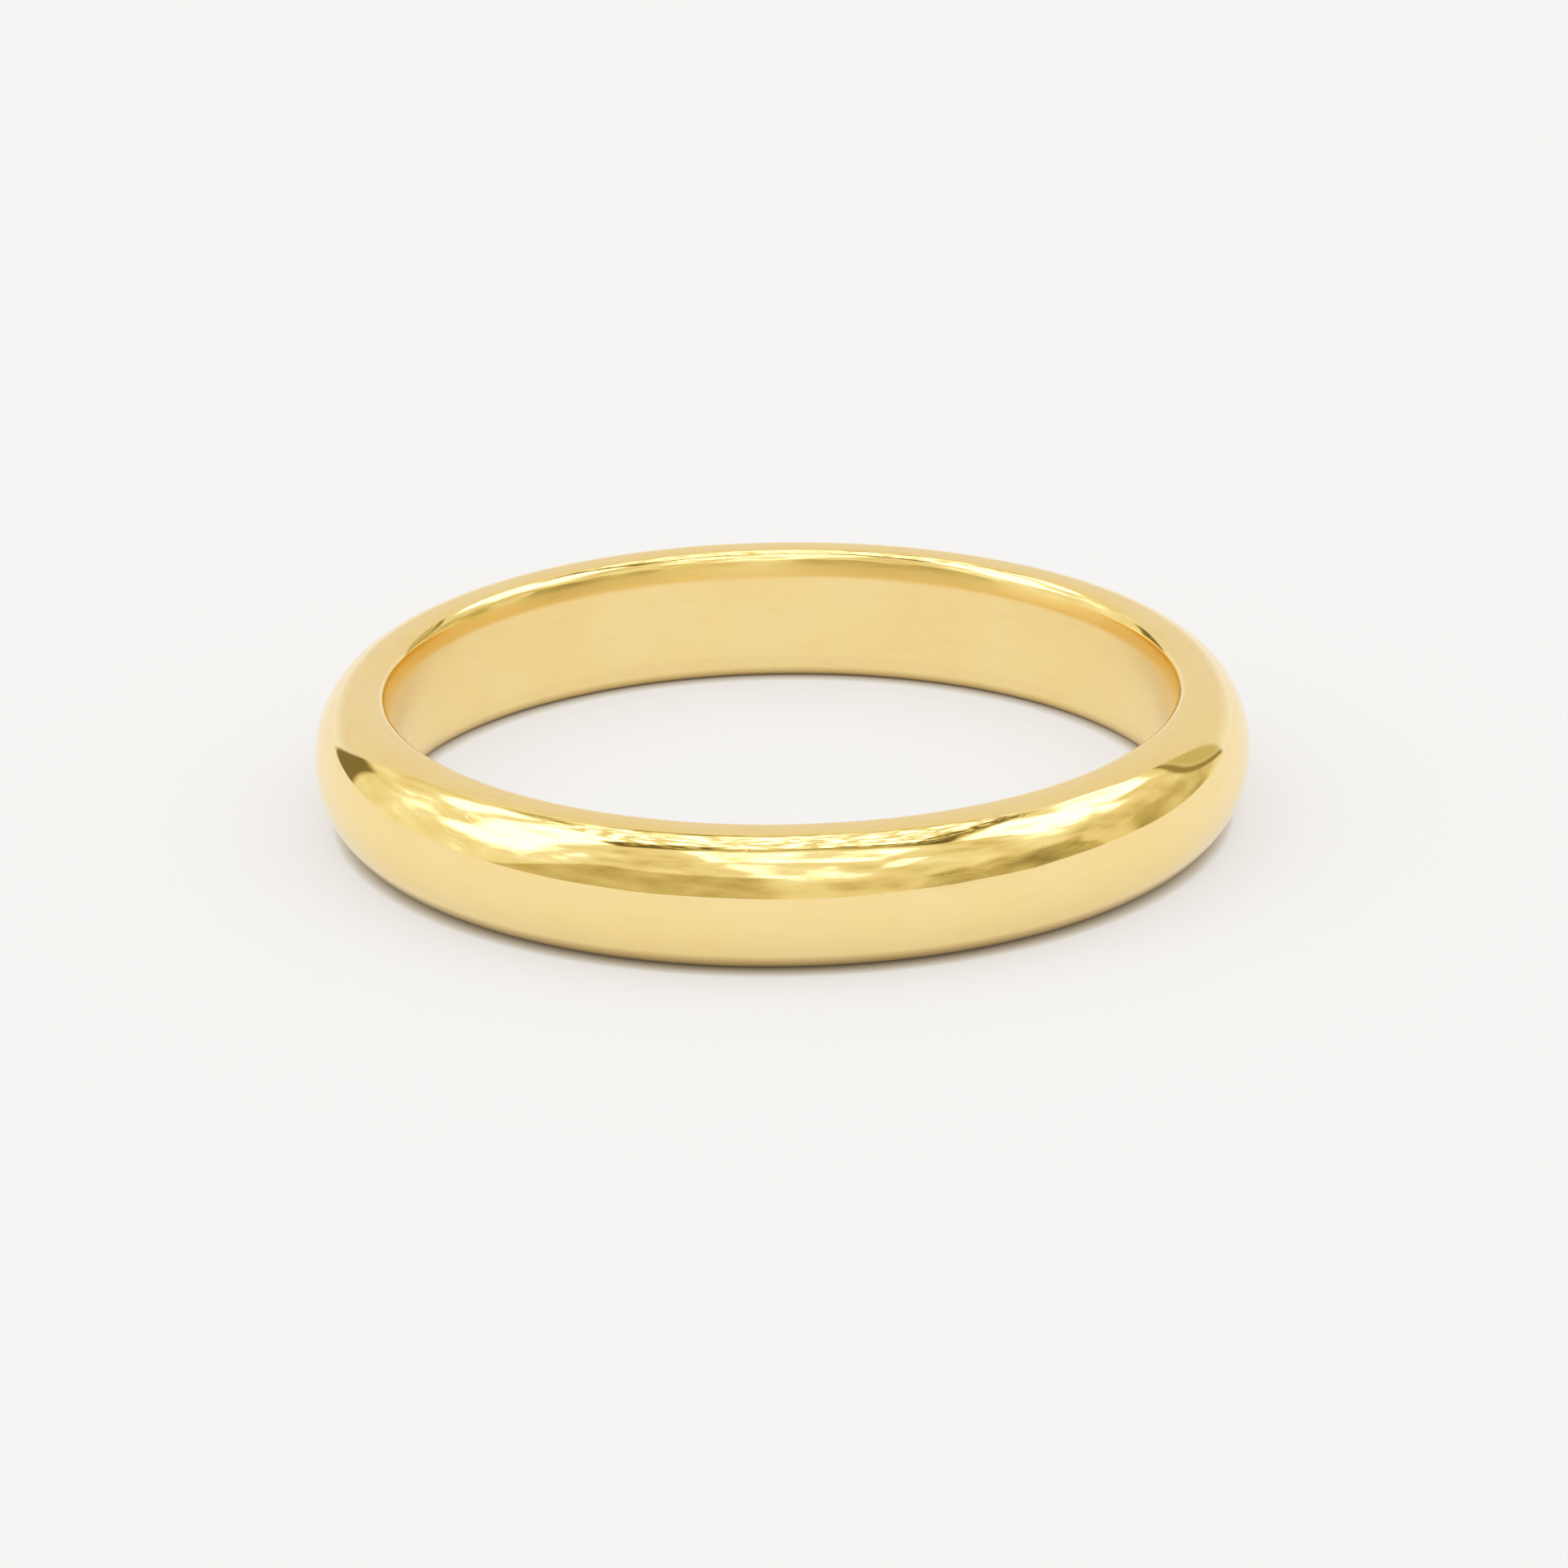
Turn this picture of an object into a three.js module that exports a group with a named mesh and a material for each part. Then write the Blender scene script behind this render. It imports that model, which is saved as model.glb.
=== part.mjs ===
// A plain wedding band: one ring of solid gold with a domed outside, lying flat on one rim.
// Units are millimetres. The ring's axis is +Z and its lower rim lies on z = 0.
import * as THREE from 'three';

// Driving dimensions.
const FINGER_SIZE = 53; // ISO 8653 size: the inside circumference
const BAND_WIDTH = 3.0; // along the finger, rim to rim
const WALL = 1.65; // bore to the widest point of the dome
const EASE_RADIUS = 3.5; // slow curve that leads out of the bore
const EDGE_RADIUS = 0.3; // tight curve that goes on from it to the rim
const EASE_START = THREE.MathUtils.degToRad(11); // lean at the slight crease where the bore ends
const EDGE_START = THREE.MathUtils.degToRad(17); // lean where the two curves meet
const RIM_LAND = 0.23; // flat between the inner edge and the dome
const DOME_FULLNESS = 1.93; // superellipse exponent: 2 is an ellipse, more is squarer

// How finely the curves are cut.
const TURN_SEGMENTS = 96;
const EASE_STEPS = 3;
const EDGE_STEPS = 6;
const DOME_STEPS = 16;

const boreRadius = FINGER_SIZE / (2 * Math.PI);

// Points of an arc that starts at a point and turns from one lean to another.
// Lean is how far the surface faces up from level: 0 in the bore, a right angle on the upper rim.
function arcFrom(start, radius, leanFrom, leanTo, steps) {
  const points = [];
  for (let step = 0; step <= steps; step++) {
    const lean = THREE.MathUtils.lerp(leanFrom, leanTo, step / steps);
    const out = radius * (Math.cos(leanFrom) - Math.cos(lean));
    const up = radius * (Math.sin(lean) - Math.sin(leanFrom));
    points.push(new THREE.Vector2(start.x + out, start.y + up));
  }
  return points;
}

// The upper inner edge: out of the bore along the slow curve, then over the tight one onto the rim.
function innerEdge() {
  const easeHeight = EASE_RADIUS * (Math.sin(EDGE_START) - Math.sin(EASE_START));
  const edgeHeight = EDGE_RADIUS * (1 - Math.sin(EDGE_START));
  const boreEnd = new THREE.Vector2(boreRadius, BAND_WIDTH - easeHeight - edgeHeight);
  const ease = arcFrom(boreEnd, EASE_RADIUS, EASE_START, EDGE_START, EASE_STEPS);
  const join = ease.pop();
  return [...ease, ...arcFrom(join, EDGE_RADIUS, EDGE_START, Math.PI / 2, EDGE_STEPS)];
}

// The dome is half a superellipse, from the upper rim over the widest point to the lower rim.
function dome(landOuter) {
  const points = [];
  const domeDepth = boreRadius + WALL - landOuter;
  const power = 2 / DOME_FULLNESS;
  for (let step = 0; step <= DOME_STEPS; step++) {
    const angle = (step / DOME_STEPS) * Math.PI;
    const rise = Math.cos(angle);
    const bulge = Math.max(Math.sin(angle), 0) ** power;
    const height = (BAND_WIDTH / 2) * (1 + Math.sign(rise) * Math.abs(rise) ** power);
    points.push(new THREE.Vector2(landOuter + domeDepth * bulge, height));
  }
  return points;
}

// The section runs up the bore, over the upper rim, down the dome and back under the lower rim.
// The lower inner edge mirrors the upper one.
function bandSection() {
  const upper = innerEdge();
  const lower = upper.map((point) => new THREE.Vector2(point.x, BAND_WIDTH - point.y)).reverse();
  const section = [...upper, ...dome(upper.at(-1).x + RIM_LAND), ...lower];
  section.push(section[0].clone());
  return section;
}

const gold = new THREE.MeshStandardMaterial({ color: 0xe6c067, roughness: 0.12, metalness: 1.0 });

// The lathe turns its section about Y, so the ring is then stood up onto +Z.
// The section goes in reversed, which makes the faces point out of the metal.
const geometry = new THREE.LatheGeometry(bandSection().reverse(), TURN_SEGMENTS);
geometry.rotateX(Math.PI / 2);

const band = new THREE.Mesh(geometry, gold);
band.name = 'band';

const weddingBand = new THREE.Group();
weddingBand.name = 'wedding_band';
weddingBand.add(band);

export default weddingBand;
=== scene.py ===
"""A plain gold wedding band on a pale table: the band in detail, its gold, and the set around it.

Lengths are in metres unless a name ends in _MM. Names ending in _DEG are in degrees.
"""
import math
import random

import bpy
import bmesh
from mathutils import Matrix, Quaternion, Vector


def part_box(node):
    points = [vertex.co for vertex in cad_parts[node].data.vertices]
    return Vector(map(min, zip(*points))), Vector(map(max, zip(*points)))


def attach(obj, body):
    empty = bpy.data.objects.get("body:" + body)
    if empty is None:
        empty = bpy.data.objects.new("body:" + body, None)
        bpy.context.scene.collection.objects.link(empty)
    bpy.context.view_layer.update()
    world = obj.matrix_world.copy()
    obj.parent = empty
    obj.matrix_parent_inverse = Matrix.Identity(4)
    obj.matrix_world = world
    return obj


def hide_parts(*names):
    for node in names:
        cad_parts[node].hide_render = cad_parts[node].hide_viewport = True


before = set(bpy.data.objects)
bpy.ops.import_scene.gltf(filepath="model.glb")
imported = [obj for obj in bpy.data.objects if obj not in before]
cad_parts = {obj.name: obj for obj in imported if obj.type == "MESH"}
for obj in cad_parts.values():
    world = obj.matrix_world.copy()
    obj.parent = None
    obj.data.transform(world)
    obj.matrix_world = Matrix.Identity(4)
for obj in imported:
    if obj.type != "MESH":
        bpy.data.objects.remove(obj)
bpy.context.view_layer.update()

MM = 0.001
MICROMETRE = 1e-6
DEGREES = math.degrees(1)
BAND_LOW, BAND_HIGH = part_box("band")

# The ring's section. The widest point and the width come from the CAD part.
WIDTH_MM = (BAND_HIGH.z - BAND_LOW.z) / MM
OUTER_MM = (BAND_HIGH.x - BAND_LOW.x) / 2 / MM
FINGER_SIZE = 53  # the bore's circumference in millimetres
BORE_MM = FINGER_SIZE / (2 * math.pi)
BORE_LENGTH_MM = 1.86  # the straight part, along the axis
# The inner edge is a slow curve and then a tight one, as (radius, lean from, lean to). Lean is in
# degrees, from 0 in the bore to 90 on the rim.
INNER_EDGE_ARCS = ((3.5, 11, 17), (0.3, 17, 90))
RIM_LAND_MM = 0.23
DOME_FULLNESS = 1.93  # the exponent of the outside's superellipse
EDGE_WEAR_MM = 0.025  # how far polishing has softened the creases
SHORTEST_MM = 1e-12  # keeps a repeated point from dividing by nothing

# Points along the outline as it is drawn, as it is softened, and in the finished mesh.
ARC_STEPS = 60
DOME_STEPS = 360
SOFTENING_STEPS = 1800
SOFTENING_REACH = 3  # how many times the wear the averaging reaches
SECTION_STEPS = 144
AROUND_STEPS = 640

# How far hand polishing leaves the surface from true: slow ripples, round the ring and across it.
WAVE_SEED = 11
WAVE_COUNT = 26
WAVE_HEIGHT_MM = 0.0016
WAVES_AROUND = (3, 34)
WAVES_ACROSS = (0, 4)
WAVE_SHARE = (0.4, 1.0)
WAVE_FADE = 9  # quicker ripples are lower: this many to a turn have half the height


# ---------------------------------------------------------------- section and mesh

def inner_edge():
    """The upper inner edge, from the end of the bore to the rim."""
    rises = [math.sin(math.radians(b)) - math.sin(math.radians(a)) for _, a, b in INNER_EDGE_ARCS]
    height = sum(arc[0] * rise for arc, rise in zip(INNER_EDGE_ARCS, rises))
    out, up = BORE_MM, WIDTH_MM - height
    points = [(out, up)]
    for radius, lean_from, lean_to in INNER_EDGE_ARCS:
        for i in range(ARC_STEPS):
            a = math.radians(lean_from + (lean_to - lean_from) * i / ARC_STEPS)
            b = math.radians(lean_from + (lean_to - lean_from) * (i + 1) / ARC_STEPS)
            out += radius * (math.cos(a) - math.cos(b))
            up += radius * (math.sin(b) - math.sin(a))
            points.append((out, up))
    return points


def section_outline():
    """The closed section as (radius, height) points, in millimetres, with its creases sharp."""
    upper = inner_edge()
    land_outer = upper[-1][0] + RIM_LAND_MM
    dome_depth = OUTER_MM - land_outer
    power = 2 / DOME_FULLNESS
    dome = []
    for i in range(DOME_STEPS + 1):
        angle = math.pi * i / DOME_STEPS
        rise = math.cos(angle)
        bulge = max(math.sin(angle), 0) ** power
        height = WIDTH_MM / 2 * (1 + math.copysign(abs(rise) ** power, rise))
        dome.append((land_outer + dome_depth * bulge, height))
    lower = [(radius, WIDTH_MM - height) for radius, height in reversed(upper)]
    return upper + dome + lower


def evenly_spaced(points, count):
    """The closed outline resampled at equal steps along its length, and that length."""
    loop = points + [points[0]]
    lengths = [0.0]
    for (r0, z0), (r1, z1) in zip(loop, loop[1:]):
        lengths.append(lengths[-1] + math.hypot(r1 - r0, z1 - z0))
    result, k = [], 0
    for i in range(count):
        at = lengths[-1] * i / count
        while lengths[k + 1] < at:
            k += 1
        share = (at - lengths[k]) / max(lengths[k + 1] - lengths[k], SHORTEST_MM)
        r0, z0 = loop[k]
        r1, z1 = loop[k + 1]
        result.append((r0 + (r1 - r0) * share, z0 + (z1 - z0) * share))
    return result, lengths[-1]


def softened(points, length, wear):
    """The outline under a bell-shaped average whose deviation is the wear, which rounds its creases."""
    step = length / len(points)
    reach = int(SOFTENING_REACH * wear / step) + 1
    weights = [math.exp(-0.5 * (k * step / wear) ** 2) for k in range(-reach, reach + 1)]
    total = sum(weights)
    result = []
    for i in range(len(points)):
        near = [points[(i + k) % len(points)] for k in range(-reach, reach + 1)]
        mean = [sum(w * point[axis] for w, point in zip(weights, near)) / total for axis in (0, 1)]
        result.append(tuple(mean))
    return result


def band_section():
    """The finished section and the distance round it."""
    fine, length = evenly_spaced(section_outline(), SOFTENING_STEPS)
    return evenly_spaced(softened(fine, length, EDGE_WEAR_MM), SECTION_STEPS)


def polish_waves():
    """The ripples, as (turns round, turns across, phase, share of the height)."""
    draw = random.Random(WAVE_SEED)
    waves = []
    for _ in range(WAVE_COUNT):
        around = draw.randint(*WAVES_AROUND)
        across = draw.randint(*WAVES_ACROSS)
        phase = draw.uniform(0, 2 * math.pi)
        share = draw.uniform(*WAVE_SHARE) * WAVE_FADE / (WAVE_FADE + around)
        waves.append((around, across, phase, share))
    return waves


def ring_of_points(section, turn, waves):
    """The section turned to one place round the ring, lifted along its normals by the ripples."""
    ring = []
    for s, (radius, height) in enumerate(section):
        r0, z0 = section[s - 1]
        r1, z1 = section[(s + 1) % SECTION_STEPS]
        run = math.hypot(r1 - r0, z1 - z0)
        across = 2 * math.pi * s / SECTION_STEPS
        ripple = sum(share * math.sin(n * turn + m * across + phase) for n, m, phase, share in waves)
        lift = ripple * WAVE_HEIGHT_MM
        r = radius - (z1 - z0) / run * lift
        z = height + (r1 - r0) / run * lift
        ring.append((r * math.cos(turn) * MM, r * math.sin(turn) * MM, z * MM))
    return ring


def make_band(section, length):
    """The band as one closed mesh. Its UVs are millimetres round the band and across its surface."""
    waves = polish_waves()
    mesh = bpy.data.meshes.new("band_polished")
    bm = bmesh.new()
    uv = bm.loops.layers.uv.new("surface_mm")
    rings = []
    for a in range(AROUND_STEPS):
        points = ring_of_points(section, 2 * math.pi * a / AROUND_STEPS, waves)
        rings.append([bm.verts.new(point) for point in points])
    around_mm = 2 * math.pi * OUTER_MM
    for a in range(AROUND_STEPS):
        here, there = rings[a], rings[(a + 1) % AROUND_STEPS]
        for s in range(SECTION_STEPS):
            t = (s + 1) % SECTION_STEPS
            face = bm.faces.new((here[s], here[t], there[t], there[s]))
            face.smooth = True
            corners = ((a, s), (a, s + 1), (a + 1, s + 1), (a + 1, s))
            for loop, (i, j) in zip(face.loops, corners):
                loop[uv].uv = (around_mm * i / AROUND_STEPS, length * j / SECTION_STEPS)
    bm.normal_update()
    bm.to_mesh(mesh)
    bm.free()
    band = bpy.data.objects.new("band_polished", mesh)
    bpy.context.scene.collection.objects.link(band)
    return band


# ---------------------------------------------------------------- node helpers

class Graph:
    """Small helpers that keep a node tree's construction readable."""

    def __init__(self, tree):
        self.tree = tree
        tree.nodes.clear()

    def node(self, kind, **settings):
        made = self.tree.nodes.new(kind)
        for name, value in settings.items():
            setattr(made, name, value)
        return made

    def put(self, socket, value):
        if isinstance(value, bpy.types.NodeSocket):
            self.tree.links.new(value, socket)
        else:
            socket.default_value = value

    def split(self, vector):
        made = self.node("ShaderNodeSeparateXYZ")
        self.put(made.inputs[0], vector)
        return made.outputs

    def math(self, operation, a, b=0.0):
        made = self.node("ShaderNodeMath", operation=operation)
        self.put(made.inputs[0], a)
        self.put(made.inputs[1], b)
        return made.outputs[0]

    def times(self, a, b):
        return self.math("MULTIPLY", a, b)

    def plus(self, a, b):
        return self.math("ADD", a, b)

    def minus(self, a, b):
        return self.math("SUBTRACT", a, b)

    def ramp(self, value, start, end):
        """0 at start, 1 at end, smooth between."""
        made = self.node("ShaderNodeMapRange", interpolation_type="SMOOTHSTEP", clamp=True)
        self.put(made.inputs["Value"], value)
        self.put(made.inputs["From Min"], start)
        self.put(made.inputs["From Max"], end)
        return made.outputs["Result"]

    def between(self, value, low, high, soft):
        """1 between low and high, falling to 0 over soft at either end."""
        rise = self.ramp(value, low - soft / 2, low + soft / 2)
        fall = self.ramp(value, high + soft / 2, high - soft / 2)
        return self.times(rise, fall)

    def blend(self, share, below, above):
        made = self.node("ShaderNodeMix", data_type="FLOAT", clamp_factor=True)
        self.put(made.inputs[0], share)
        self.put(made.inputs[2], below)
        self.put(made.inputs[3], above)
        return made.outputs[0]

    def tint(self, share, below, above, gain=1.0):
        """A mix of two colours; plain colours are given relative to gain."""
        made = self.node("ShaderNodeMix", data_type="RGBA", clamp_factor=True)
        self.put(made.inputs[0], share)
        for socket, colour in ((made.inputs[6], below), (made.inputs[7], above)):
            if not isinstance(colour, bpy.types.NodeSocket):
                colour = tuple(part / gain for part in colour) + (1,)
            self.put(socket, colour)
        return made.outputs[2]

    def tones(self, value, stops, gain=1.0):
        """A colour for each brightness, from (brightness, colour) stops relative to gain."""
        made = self.node("ShaderNodeValToRGB")
        elements = made.color_ramp.elements
        while len(elements) < len(stops):
            elements.new(1.0)
        for element, (place, colour) in zip(elements, stops):
            element.position = place
            element.color = tuple(part / gain for part in colour) + (1,)
        self.put(made.inputs[0], value)
        return made.outputs[0]

    def noise(self, vector, pattern):
        """A noise from a pattern, given as (stretch, scale, detail, offset)."""
        stretch, scale, detail, offset = pattern
        stretched = self.node("ShaderNodeVectorMath", operation="MULTIPLY")
        self.put(stretched.inputs[0], vector)
        self.put(stretched.inputs[1], stretch)
        moved = self.node("ShaderNodeVectorMath", operation="ADD")
        self.put(moved.inputs[0], stretched.outputs[0])
        self.put(moved.inputs[1], offset)
        made = self.node("ShaderNodeTexNoise")
        self.put(made.inputs["Vector"], moved.outputs[0])
        self.put(made.inputs["Scale"], scale)
        self.put(made.inputs["Detail"], detail)
        return made.outputs[0]

    def bump(self, height, depth, normal=None):
        made = self.node("ShaderNodeBump")
        self.put(made.inputs["Strength"], 1.0)
        self.put(made.inputs["Distance"], depth)
        self.put(made.inputs["Height"], height)
        if normal is not None:
            self.put(made.inputs["Normal"], normal)
        return made.outputs[0]


# ---------------------------------------------------------------- gold

# Yellow gold, and the slightly warmer and paler tones that polishing leaves in it.
GOLD_WARM = (1.0, 0.775, 0.355)
GOLD_PALE = (1.0, 0.795, 0.385)
GOLD_FILM = (0.93, 0.70, 0.31)  # a faint film of handling
FILM_STRENGTH = 0.28

# Patterns on the surface, as (stretch, scale, detail, offset). Before the stretch, one unit is a
# millimetre: x runs round the band, y across its surface.
CLOUDS = ((1, 1, 1), 0.35, 3, (0, 0, 0))
FILM = ((0.8, 3, 1), 1.1, 3, (5, 1, 0))
BRUSHED = ((0.35, 9, 1), 1, 4, (11, 3, 0))
PATCHES = ((1, 1, 1), 0.45, 2, (4, 8, 0))
HAIRS = ((0.6, 1.6, 1), 1.3, 1, (2, 5, 0))

# Where each pattern's noise starts to show and where it shows in full.
CLOUD_RANGE = (0.35, 0.65)
FILM_RANGE = (0.52, 0.72)
PATCH_RANGE = (0.42, 0.66)
HAIR_PATCH_RANGE = (0.4, 0.8)
NOISE_MIDDLE = 0.5
HAIR_HALF_WIDTH = 0.0018  # of the noise's range

OUTSIDE_ROUGHNESS = 0.022
BORE_ROUGHNESS = 0.285  # at 0.26 the filter of a render with few samples leaves crinkled lines
SCUFF_ROUGHNESS = 0.09
SCUFF_DEPTH = 0.8 * MICROMETRE
HAIR_DEPTH = 0.6 * MICROMETRE
# The finish turns from the bore's to the outside's on the inner edges, this far from the bore.
FINISH_UPPER_MM = 0.3
FINISH_LOWER_MM = 0.2
FINISH_SOFT_MM = 0.2


def gold_material(section_length):
    """Polished gold: clouded and faintly filmed, brushed in patches, with hairlines on the outside."""
    material = bpy.data.materials.new("polished_gold")
    material.use_nodes = True
    g = Graph(material.node_tree)
    out = g.node("ShaderNodeOutputMaterial")
    shader = g.node("ShaderNodeBsdfPrincipled")
    g.put(out.inputs["Surface"], shader.outputs[0])
    shader.inputs["Metallic"].default_value = 1.0
    place = g.node("ShaderNodeUVMap", uv_map="surface_mm").outputs[0]

    clean = g.tint(g.ramp(g.noise(place, CLOUDS), *CLOUD_RANGE), GOLD_WARM, GOLD_PALE)
    film = g.times(g.ramp(g.noise(place, FILM), *FILM_RANGE), FILM_STRENGTH)
    g.put(shader.inputs["Base Color"], g.tint(film, clean, GOLD_FILM))

    patches = g.ramp(g.noise(place, PATCHES), *PATCH_RANGE)
    scuffed = g.times(g.noise(place, BRUSHED), patches)
    bore_start = section_length - BORE_LENGTH_MM
    outside = g.between(g.split(place)[1], FINISH_UPPER_MM, bore_start - FINISH_LOWER_MM, FINISH_SOFT_MM)
    polish = g.blend(outside, BORE_ROUGHNESS, OUTSIDE_ROUGHNESS)
    g.put(shader.inputs["Roughness"], g.plus(polish, g.times(scuffed, SCUFF_ROUGHNESS)))

    ridge = g.math("ABSOLUTE", g.minus(g.noise(place, HAIRS), NOISE_MIDDLE))
    hairs = g.times(g.ramp(ridge, HAIR_HALF_WIDTH, 0.0), g.ramp(patches, *HAIR_PATCH_RANGE))
    normal = g.bump(g.times(scuffed, outside), SCUFF_DEPTH)
    normal = g.bump(g.times(hairs, outside), -HAIR_DEPTH, normal)
    g.put(shader.inputs["Normal"], normal)
    return material


# ---------------------------------------------------------------- table

FLOOR_HALF = 2.0
PALE_FLOOR = (0.922, 0.913, 0.896)
FLOOR_ALBEDO = (0.280, 0.277, 0.282)
# Near the ring the floor's glow is dimmed by an ambient-occlusion node, a painted contact shadow, and
# turned warm, painted gold-reflected light.
FLOOR_GLOW = 0.545
PAINTED_CONTACT_TINT = (0.95, 0.70, 0.36)  # the glow turns this warm where the gold shades it
PAINTED_SHADOW_REACH = 0.30 * MM
PAINTED_SHADOW_DEPTH = 0.75  # the power that the open share of the sky is raised to
CONTACT_SAMPLES = 8


def make_floor():
    """A pale table, lit from above. More than half of its brightness is a glow of its own, which is
    dimmed near the ring into a painted contact shadow and turned warm there as painted gold-reflected
    light.
    """
    mesh = bpy.data.meshes.new("floor")
    h = FLOOR_HALF
    mesh.from_pydata([(-h, -h, 0), (h, -h, 0), (h, h, 0), (-h, h, 0)], [], [(0, 1, 2, 3)])
    floor = bpy.data.objects.new("floor", mesh)
    bpy.context.scene.collection.objects.link(floor)
    material = bpy.data.materials.new("pale_table")
    material.use_nodes = True
    g = Graph(material.node_tree)
    out = g.node("ShaderNodeOutputMaterial")
    top = g.node("ShaderNodeBsdfDiffuse")
    g.put(top.inputs["Color"], FLOOR_ALBEDO + (1,))
    open_sky = g.node("ShaderNodeAmbientOcclusion", samples=CONTACT_SAMPLES)
    g.put(open_sky.inputs["Distance"], PAINTED_SHADOW_REACH)
    # painted contact shadow: the glow fades and warms where the ring is close
    cover = g.math("POWER", open_sky.outputs["AO"], PAINTED_SHADOW_DEPTH)
    glow = g.node("ShaderNodeEmission")
    g.put(glow.inputs["Color"], g.tint(cover, PAINTED_CONTACT_TINT, PALE_FLOOR))
    g.put(glow.inputs["Strength"], g.times(cover, FLOOR_GLOW / PALE_FLOOR[0]))
    both = g.node("ShaderNodeAddShader")
    g.put(both.inputs[0], top.outputs[0])
    g.put(both.inputs[1], glow.outputs[0])
    g.put(out.inputs["Surface"], both.outputs[0])
    mesh.materials.append(material)
    return floor


# ---------------------------------------------------------------- studio

# How bright each part of the studio is, on the scale of STUDIO_TONES.
DIM, OLIVE, MID, CREAM, PALE, BRIGHT, HOT = 0.04, 0.25, 0.45, 0.6, 0.72, 0.86, 1.0
STUDIO_TONES = [
    (0.00, (0.16, 0.13, 0.05)),
    (0.25, (0.55, 0.48, 0.24)),
    (0.45, (0.80, 0.74, 0.50)),
    (0.60, (0.88, 0.85, 0.64)),
    (0.72, (0.95, 0.96, 0.84)),
    (1.00, (2.40, 2.40, 2.40)),
]
STUDIO_GAIN = 2.4
PLAIN_LEVEL = MID + 0.10

# In what follows, angles are in degrees. Heading 0 is towards the camera and azimuth 0 is away from
# it; both are positive to the ring's right.
# Walls, as (name, heading from, to, elevation from, to, softness, brightness).
WALLS = [
    ("left wall", -120, -55, -5, 60, 12, CREAM + 0.04),
    ("left window", -94, -68, 19, 62, 9, HOT),
    ("left curtain gap", -130, -114, 41, 54, 6, HOT),
    ("right wall", 78, 124, -5, 24, 8, MID),
    ("right recess", 94, 126, -5, 18, 8, OLIVE),
    ("right window", 72, 104, 30, 57, 10, BRIGHT + 0.06),
    ("right high window", 106, 132, 36, 54, 6, HOT),
    ("right cabinet", 30, 80, -5, 18, 5, OLIVE - 0.02),
    ("right chair", 10, 34, -5, 24, 8, MID),
    ("open door", -12, 14, 20, 44, 8, PALE),
]
# The ceiling, one unit up, as (name, right from, to, forward from, to, softness, brightness).
CEILING = [
    ("bright left", -1.0, -0.52, -0.36, 0.16, 0.12, HOT),
    ("bright left strip", -1.1, -0.54, 0.32, 0.56, 0.12, HOT),
    ("bright right", 0.58, 1.4, -0.36, 0.18, 0.12, HOT),
    ("bright right strip", 0.60, 1.3, 0.34, 0.72, 0.12, HOT),
    ("roof light", -0.50, 0.50, -0.28, 0.50, 0.05, PALE + 0.06),
    ("front panel", -0.36, 0.50, -0.92, -0.42, 0.12, BRIGHT),
    ("front bar left", -0.62, -0.16, -0.40, -0.22, 0.06, DIM + 0.06),
    ("front bar middle", -0.18, 0.20, -0.37, -0.30, 0.03, OLIVE),
    ("front bar right", 0.18, 0.56, -0.38, -0.24, 0.05, DIM + 0.08),
    ("right bar", 0.42, 0.56, -0.30, 0.40, 0.05, OLIVE - 0.08),
    ("back bar", -0.30, 0.34, 0.42, 0.50, 0.04, OLIVE + 0.05),
    ("left bracket", -0.50, -0.38, 0.34, 0.60, 0.05, OLIVE + 0.05),
    ("right bracket", 0.46, 0.58, 0.55, 0.80, 0.06, OLIVE + 0.05),
    ("far strip", 0.60, 0.82, -1.45, -0.95, 0.10, BRIGHT),
]
LOWEST_SINE = 0.05  # a direction with a lower sine of elevation is treated as having this one

# Edges in the studio drift by these amounts, and its surfaces are mottled.
DRIFT_A = ((1, 1, 1), 3, 2, (3.1, 0, 0))
DRIFT_B = ((1, 1, 1), 3, 2, (0, 7.7, 0))
HEADING_DRIFT = 26
ELEVATION_DRIFT = 16
RIGHT_DRIFT = 0.20
FORWARD_DRIFT = 0.12
MOTTLE = ((1, 1, 1), 5, 3, (1, 2, 3))
MOTTLE_LOW = 0.6
MOTTLE_HIGH = 1.1
MOTTLE_RISE = (12, 30)  # elevations between which it turns from low to high
MOTTLE_ROOF = 0.5

# The roof light is broken up into small lamps. Its place is on the ceiling, as above.
ROOF_FORWARD = (-0.3, 0.45)
ROOF_RIGHT = (-0.55, 0.55)
ROOF_SOFT = 0.2
LAMPS = ((1.7, 1, 1), 12, 1, (2, 5, 0))
LAMP_RANGE = (0.44, 0.60)
LAMP_MEAN = 0.4
LAMP_DEPTH = 0.45

# A dark sofa on the camera's side, to its left. Its top slopes up at its far end, then runs level.
SOFA_HEADINGS = (-79, -2)
SOFA_SLOPE = (-78, -44)
SOFA_TOP = 26
SOFA_EDGE = (-1, 2)
SOFA_SOFT = 10
SOFA_LEVEL = OLIVE + 0.03
SOFA_MOTTLE = 0.4

# On the far side: a backdrop sheet, a bowed pole beyond its right edge with a shaded gap up to it,
# and a pole by its left edge. Bow and lean are in degrees for a squared degree of elevation.
POLE_AZIMUTH = 57
POLE_MIDDLE = 19
POLE_BOW = 0.05
POLE_WIDTH = (-1.5, 3)
POLE_HEIGHT = (-5, 37)
POLE_SIDE_SOFT = 3
POLE_TOP_SOFT = 4
POLE_LEVEL = DIM + 0.06
GAP_AZIMUTHS = (28, 70)
GAP_HEIGHT = (-5, 40)
GAP_EDGE = (0, 4)
GAP_SOFT = 8
GAP_LEVEL = OLIVE + 0.04
LEFT_POLE_AZIMUTHS = (-53, -38)
LEFT_POLE_HEIGHT = (-5, 20)
LEFT_POLE_TOP_SOFT = 5
SHEET_LEFT = -45.5
SHEET_MIDDLE = 22
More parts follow.
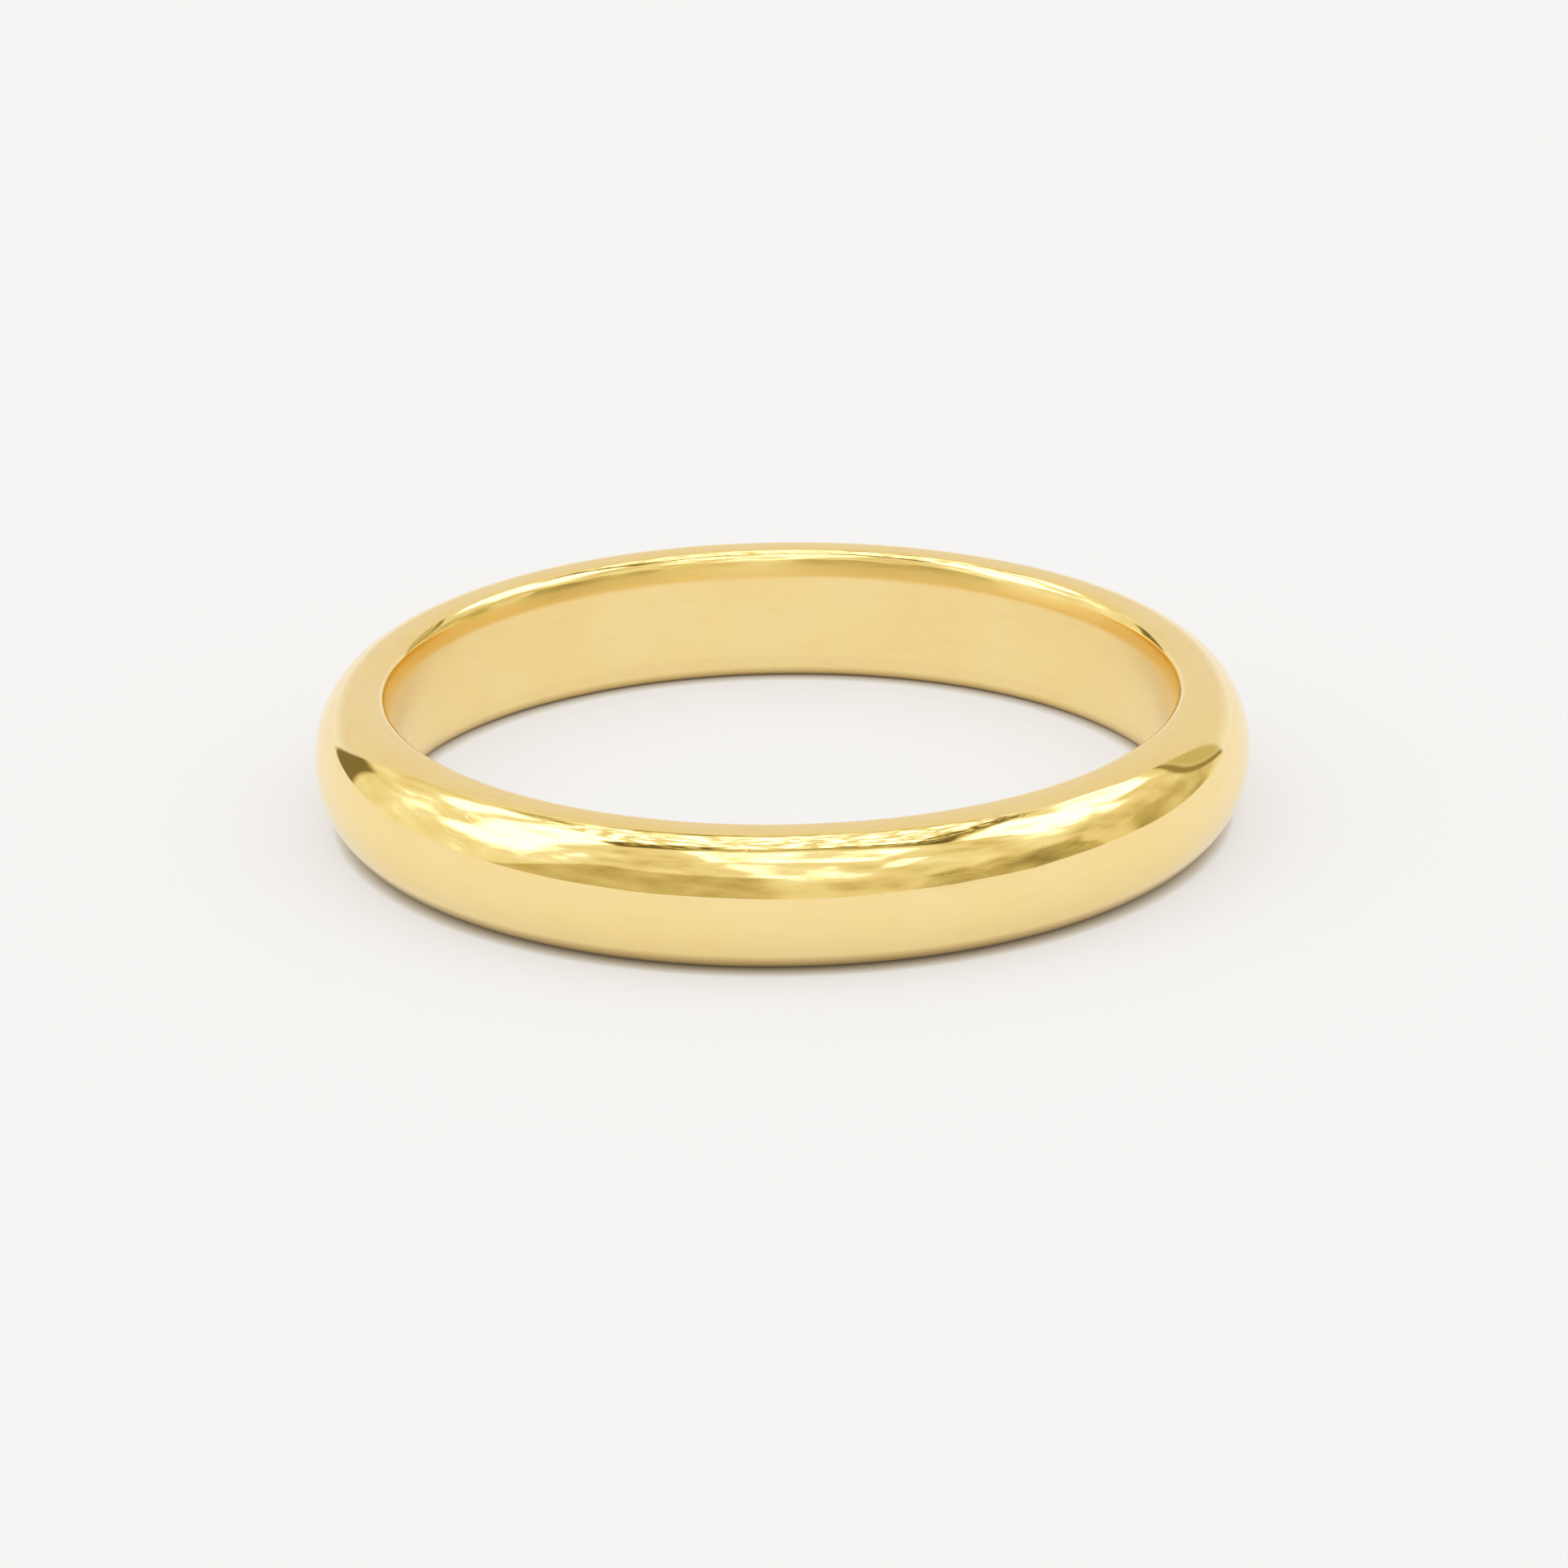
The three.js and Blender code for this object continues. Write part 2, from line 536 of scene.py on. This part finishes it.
SHEET_LEAN = 0.02
SHEET_EDGE = (-1, 1)
SHEET_AZIMUTHS = (-90, 44)
SHEET_HEIGHT = (-5, 61)
SHEET_SOFT = 3
BACKDROP_LOW = (0.95, 0.96, 1.02)
BACKDROP_HIGH = (0.83, 0.785, 0.705)
BACKDROP_RISE = (-2, 14)  # elevations between which it turns from low to high

WALL_LIGHT = (0.95, 0.94, 0.92)
CEILING_LIGHT = (1.45, 1.44, 1.41)
CEILING_RISE = (0.1, 0.9)  # sines of the elevations between which wall turns to ceiling


class Sight:
    """A direction's angles in degrees, and where it meets a ceiling one unit up."""

    def __init__(self, g, direction):
        x, y, z = g.split(direction)
        self.direction = direction
        self.azimuth = g.times(g.math("ARCTAN2", x, y), DEGREES)
        self.heading = g.times(g.math("ARCTAN2", x, g.times(y, -1.0)), DEGREES)
        self.elevation = g.times(g.math("ARCSINE", z), DEGREES)
        height = g.math("MAXIMUM", z, LOWEST_SINE)
        self.right = g.math("DIVIDE", x, height)
        self.forward = g.math("DIVIDE", y, height)


def areas_level(g, sight):
    """The brightness of the walls and ceiling, with their edges drifting."""
    drift_a = g.minus(g.noise(sight.direction, DRIFT_A), NOISE_MIDDLE)
    drift_b = g.minus(g.noise(sight.direction, DRIFT_B), NOISE_MIDDLE)
    heading = g.plus(sight.heading, g.times(drift_a, HEADING_DRIFT))
    elevation = g.plus(sight.elevation, g.times(drift_b, ELEVATION_DRIFT))
    right = g.plus(sight.right, g.times(drift_a, RIGHT_DRIFT))
    forward = g.plus(sight.forward, g.times(drift_b, FORWARD_DRIFT))
    level = PLAIN_LEVEL
    for areas, along, up in ((WALLS, heading, elevation), (CEILING, right, forward)):
        for _, left, end, low, high, soft, tone in areas:
            share = g.times(g.between(up, low, high, soft), g.between(along, left, end, soft))
            level = g.blend(share, level, tone)
    return level


def mottled(g, sight, level, mottle):
    """The level broken up by the mottle, and by lamps where the roof light is."""
    roof = g.times(g.between(sight.forward, *ROOF_FORWARD, ROOF_SOFT),
                   g.between(sight.right, *ROOF_RIGHT, ROOF_SOFT))
    depth = g.blend(g.ramp(sight.elevation, *MOTTLE_RISE), MOTTLE_LOW, MOTTLE_HIGH)
    depth = g.blend(roof, depth, MOTTLE_ROOF)
    level = g.plus(level, g.times(mottle, depth))
    overhead = g.node("ShaderNodeCombineXYZ")
    g.put(overhead.inputs[0], sight.right)
    g.put(overhead.inputs[1], sight.forward)
    lamps = g.ramp(g.noise(overhead.outputs[0], LAMPS), *LAMP_RANGE)
    return g.plus(level, g.times(g.minus(lamps, LAMP_MEAN), g.times(roof, LAMP_DEPTH)))


def with_sofa(g, sight, level, mottle):
    """The level with the sofa in front of what is behind it."""
    top = g.times(g.ramp(sight.heading, *SOFA_SLOPE), SOFA_TOP)
    below_top = g.ramp(g.minus(top, sight.elevation), *SOFA_EDGE)
    sofa = g.times(below_top, g.between(sight.heading, *SOFA_HEADINGS, SOFA_SOFT))
    return g.blend(sofa, level, g.plus(g.times(mottle, SOFA_MOTTLE), SOFA_LEVEL))


def with_poles(g, sight, level):
    """The level with both poles and the shaded gap beside the right one."""
    from_middle = g.minus(sight.elevation, POLE_MIDDLE)
    bow = g.times(g.times(from_middle, from_middle), POLE_BOW)
    past_pole = g.minus(sight.azimuth, g.minus(POLE_AZIMUTH, bow))
    before_pole = g.times(past_pole, -1.0)
    gap = g.times(g.ramp(before_pole, *GAP_EDGE), g.between(sight.azimuth, *GAP_AZIMUTHS, GAP_SOFT))
    gap = g.times(gap, g.between(sight.elevation, *GAP_HEIGHT, GAP_SOFT))
    level = g.blend(gap, level, GAP_LEVEL)
    right_pole = g.times(g.between(past_pole, *POLE_WIDTH, POLE_SIDE_SOFT),
                         g.between(sight.elevation, *POLE_HEIGHT, POLE_TOP_SOFT))
    level = g.blend(right_pole, level, POLE_LEVEL)
    left_pole = g.times(g.between(sight.azimuth, *LEFT_POLE_AZIMUTHS, POLE_SIDE_SOFT),
                        g.between(sight.elevation, *LEFT_POLE_HEIGHT, LEFT_POLE_TOP_SOFT))
    return g.blend(left_pole, level, DIM)


def with_backdrop(g, sight, colour):
    """The colour with the backdrop sheet in front of it."""
    from_middle = g.minus(sight.elevation, SHEET_MIDDLE)
    lean = g.times(g.times(from_middle, from_middle), SHEET_LEAN)
    past_edge = g.minus(sight.azimuth, g.plus(lean, SHEET_LEFT))
    sheet = g.times(g.ramp(past_edge, *SHEET_EDGE), g.between(sight.azimuth, *SHEET_AZIMUTHS, SHEET_SOFT))
    sheet = g.times(sheet, g.between(sight.elevation, *SHEET_HEIGHT, SHEET_SOFT))
    paper = g.tint(g.ramp(sight.elevation, *BACKDROP_RISE), BACKDROP_LOW, BACKDROP_HIGH, STUDIO_GAIN)
    return g.tint(sheet, colour, paper)


def studio_light(g, direction):
    """The colour that comes from a direction: a small studio with a backdrop behind the ring."""
    sight = Sight(g, direction)
    mottle = g.minus(g.noise(direction, MOTTLE), NOISE_MIDDLE)
    level = mottled(g, sight, areas_level(g, sight), mottle)
    level = with_sofa(g, sight, level, mottle)
    level = with_poles(g, sight, level)
    return with_backdrop(g, sight, g.tones(level, STUDIO_TONES, STUDIO_GAIN))


def make_surroundings():
    """Reflections see the studio, diffuse light is a plain soft dome, the camera sees plain pale."""
    world = bpy.data.worlds.new("studio")
    bpy.context.scene.world = world
    world.use_nodes = True
    g = Graph(world.node_tree)
    out = g.node("ShaderNodeOutputWorld")
    direction = g.node("ShaderNodeTexCoord").outputs["Generated"]
    reflected = g.node("ShaderNodeBackground")
    g.put(reflected.inputs["Color"], studio_light(g, direction))
    g.put(reflected.inputs["Strength"], STUDIO_GAIN)
    soft = g.node("ShaderNodeBackground")
    up = g.split(direction)[2]
    g.put(soft.inputs["Color"], g.tint(g.ramp(up, *CEILING_RISE), WALL_LIGHT, CEILING_LIGHT))
    seen = g.node("ShaderNodeBackground")
    g.put(seen.inputs["Color"], PALE_FLOOR + (1,))
    path = g.node("ShaderNodeLightPath")
    lighting = g.node("ShaderNodeMixShader")
    g.put(lighting.inputs[0], path.outputs["Is Diffuse Ray"])
    g.put(lighting.inputs[1], reflected.outputs[0])
    g.put(lighting.inputs[2], soft.outputs[0])
    everything = g.node("ShaderNodeMixShader")
    g.put(everything.inputs[0], path.outputs["Is Camera Ray"])
    g.put(everything.inputs[1], lighting.outputs[0])
    g.put(everything.inputs[2], seen.outputs[0])
    g.put(out.inputs["Surface"], everything.outputs[0])


# ---------------------------------------------------------------- camera

CAMERA_ELEVATION_DEG = 20.48
CAMERA_DISTANCE = 0.200
CAMERA_ROLL_DEG = 0.77
LENS_MM = 212.4
SENSOR_MM = 36
CLIP_START = 0.01
CLIP_END = 10
AIM = Vector((0.000025, 0, 0.000616))


def make_camera():
    data = bpy.data.cameras.new("camera")
    data.sensor_width = SENSOR_MM
    data.lens = LENS_MM
    data.clip_start = CLIP_START
    data.clip_end = CLIP_END
    camera = bpy.data.objects.new("camera", data)
    bpy.context.scene.collection.objects.link(camera)
    e = math.radians(CAMERA_ELEVATION_DEG)
    back = Vector((0, -math.cos(e), math.sin(e)))
    camera.location = AIM + back * CAMERA_DISTANCE
    roll = Quaternion((0, 0, 1), -math.radians(CAMERA_ROLL_DEG))
    camera.rotation_mode = "QUATERNION"
    camera.rotation_quaternion = (-back).to_track_quat("-Z", "Y") @ roll
    bpy.context.scene.camera = camera


make_camera()
make_floor()
make_surroundings()
bpy.context.scene.view_settings.view_transform = "Standard"

SECTION, SECTION_LENGTH = band_section()
band = make_band(SECTION, SECTION_LENGTH)
band.data.materials.append(gold_material(SECTION_LENGTH))
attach(band, "root")
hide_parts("band")
